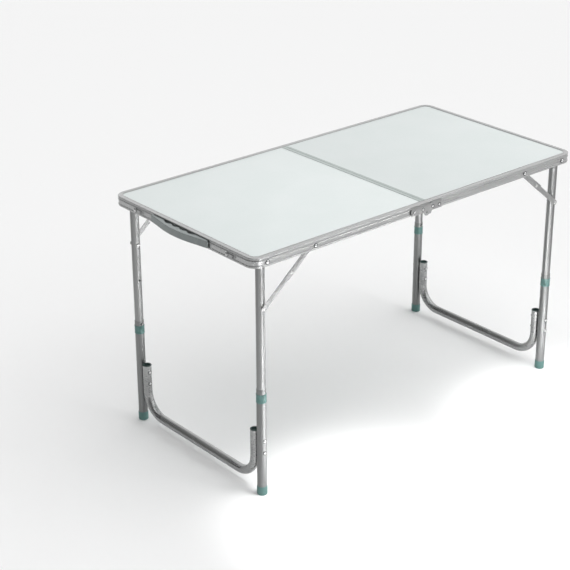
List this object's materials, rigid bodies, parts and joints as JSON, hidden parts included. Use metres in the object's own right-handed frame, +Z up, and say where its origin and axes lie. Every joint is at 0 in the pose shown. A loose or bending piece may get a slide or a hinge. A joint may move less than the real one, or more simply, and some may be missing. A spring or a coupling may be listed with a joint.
{
  "type": "folding picnic table",
  "caption": "Folding picnic table: a laminate top in two aluminium-framed halves hinged in the middle, on two U-shaped leg frames with folding braces, with a carrying grip and latches.",
  "frame": {"origin": "on the floor, under the middle of the open table's bounding box", "axes": "+X along the length, away from the grip; +Y across the table; +Z up"},
  "size_m": [1.227, 0.6086, 0.7],
  "materials": {
    "laminate": "satin pale laminate, faintly mottled",
    "aluminium": "satin silver extrusion",
    "tube": "satin silver tube",
    "steel": "zinc plated",
    "teal_plastic": "moulded",
    "grey_plastic": "moulded"
  },
  "bodies": {
    "left_half": {"left_frame_rail": "aluminium", "left_board": "laminate", "left_centre_rail": "aluminium", "grip": "grey_plastic", "near_hinge_left_leaf": "steel", "far_hinge_left_leaf": "steel", "near_hinge_pin": "steel", "far_hinge_pin": "steel", "near_latch_pivot": "steel", "far_latch_pivot": "steel", "left_near_leg_pivot": "steel", "left_near_brace_pivot": "steel", "left_far_leg_pivot": "steel", "left_far_brace_pivot": "steel"},
    "right_half": {"right_frame_rail": "aluminium", "right_board": "laminate", "right_centre_rail": "aluminium", "near_hinge_right_leaf": "steel", "far_hinge_right_leaf": "steel", "near_catch_stud": "steel", "far_catch_stud": "steel", "right_near_leg_pivot": "steel", "right_near_brace_pivot": "steel", "right_far_leg_pivot": "steel", "right_far_brace_pivot": "steel"},
    "left_upper_frame": {"left_near_upper_leg": "tube", "left_far_upper_leg": "tube"},
    "left_lower_frame": {"left_near_lower_leg": "tube", "left_near_collar": "teal_plastic", "left_near_foot_cap": "teal_plastic", "left_far_lower_leg": "tube", "left_far_collar": "teal_plastic", "left_far_foot_cap": "teal_plastic", "left_stretcher": "tube"},
    "left_upper_braces": {"left_near_upper_brace": "steel", "left_far_upper_brace": "steel"},
    "left_lower_braces": {"left_near_lower_brace": "steel", "left_far_lower_brace": "steel"},
    "left_near_lock_button": {"left_near_lock_button": "steel"},
    "left_far_lock_button": {"left_far_lock_button": "steel"},
    "right_upper_frame": {"right_near_upper_leg": "tube", "right_far_upper_leg": "tube"},
    "right_lower_frame": {"right_near_lower_leg": "tube", "right_near_collar": "teal_plastic", "right_near_foot_cap": "teal_plastic", "right_far_lower_leg": "tube", "right_far_collar": "teal_plastic", "right_far_foot_cap": "teal_plastic", "right_stretcher": "tube"},
    "right_upper_braces": {"right_near_upper_brace": "steel", "right_far_upper_brace": "steel"},
    "right_lower_braces": {"right_near_lower_brace": "steel", "right_far_lower_brace": "steel"},
    "right_near_lock_button": {"right_near_lock_button": "steel"},
    "right_far_lock_button": {"right_far_lock_button": "steel"},
    "near_latch": {"near_latch_hook": "steel"},
    "far_latch": {"far_latch_hook": "steel"}
  },
  "joints": [
    {"name": "top_fold", "type": "hinge", "parent": "left_half", "child": "right_half", "pos_m": [0.0085, 0, 0.6715], "axis": [0, 1, 0], "range_deg": [0, 70]},
    {"name": "left_leg_fold", "type": "hinge", "parent": "left_half", "child": "left_upper_frame", "pos_m": [-0.5465, 0, 0.684], "axis": [0, -1, 0], "range_deg": [0, 89.5]},
    {"name": "left_leg_slide", "type": "slide", "parent": "left_upper_frame", "child": "left_lower_frame", "axis": [0, 0, 1], "range_m": [0, 0.135]},
    {"name": "left_upper_brace_turn", "type": "hinge", "parent": "left_half", "child": "left_upper_braces", "pos_m": [-0.387, 0, 0.684], "axis": [0, -1, 0], "range_deg": [0, 139.7]},
    {"name": "left_lower_brace_turn", "type": "hinge", "parent": "left_upper_frame", "child": "left_lower_braces", "pos_m": [-0.5465, 0, 0.5495], "axis": [0, -1, 0], "range_deg": [-130, 0]},
    {"name": "left_near_button_press", "type": "slide", "parent": "left_lower_frame", "child": "left_near_lock_button", "axis": [0, -1, 0], "range_m": [0, 0.0022], "stiffness_N_per_m": 500, "springref_m": -0.002},
    {"name": "left_far_button_press", "type": "slide", "parent": "left_lower_frame", "child": "left_far_lock_button", "axis": [0, 1, 0], "range_m": [0, 0.0022], "stiffness_N_per_m": 500, "springref_m": -0.002},
    {"name": "right_leg_fold", "type": "hinge", "parent": "right_half", "child": "right_upper_frame", "pos_m": [0.5635, 0, 0.684], "axis": [0, 1, 0], "range_deg": [0, 89.5]},
    {"name": "right_leg_slide", "type": "slide", "parent": "right_upper_frame", "child": "right_lower_frame", "axis": [0, 0, 1], "range_m": [0, 0.135]},
    {"name": "right_upper_brace_turn", "type": "hinge", "parent": "right_half", "child": "right_upper_braces", "pos_m": [0.404, 0, 0.684], "axis": [0, 1, 0], "range_deg": [0, 139.7]},
    {"name": "right_lower_brace_turn", "type": "hinge", "parent": "right_upper_frame", "child": "right_lower_braces", "pos_m": [0.5635, 0, 0.5495], "axis": [0, 1, 0], "range_deg": [-130, 0]},
    {"name": "right_near_button_press", "type": "slide", "parent": "right_lower_frame", "child": "right_near_lock_button", "axis": [0, -1, 0], "range_m": [0, 0.0022], "stiffness_N_per_m": 500, "springref_m": -0.002},
    {"name": "right_far_button_press", "type": "slide", "parent": "right_lower_frame", "child": "right_far_lock_button", "axis": [0, 1, 0], "range_m": [0, 0.0022], "stiffness_N_per_m": 500, "springref_m": -0.002},
    {"name": "near_latch_turn", "type": "hinge", "parent": "left_half", "child": "near_latch", "pos_m": [-0.5929, -0.196, 0.684], "axis": [1, 0, 0], "range_deg": [0, 90]},
    {"name": "far_latch_turn", "type": "hinge", "parent": "left_half", "child": "far_latch", "pos_m": [-0.5929, 0.196, 0.684], "axis": [1, 0, 0], "range_deg": [0, 90]}
  ],
  "couplings": [
    {"joint": "left_leg_slide", "follows": "left_leg_fold", "m_per_rad": 0.086104},
    {"joint": "left_upper_brace_turn", "follows": "left_leg_fold", "ratio": 1.5558},
    {"joint": "left_lower_brace_turn", "follows": "left_leg_fold", "ratio": -1.4474},
    {"joint": "right_leg_slide", "follows": "right_leg_fold", "m_per_rad": 0.086104},
    {"joint": "right_upper_brace_turn", "follows": "right_leg_fold", "ratio": 1.5558},
    {"joint": "right_lower_brace_turn", "follows": "right_leg_fold", "ratio": -1.4474}
  ]
}
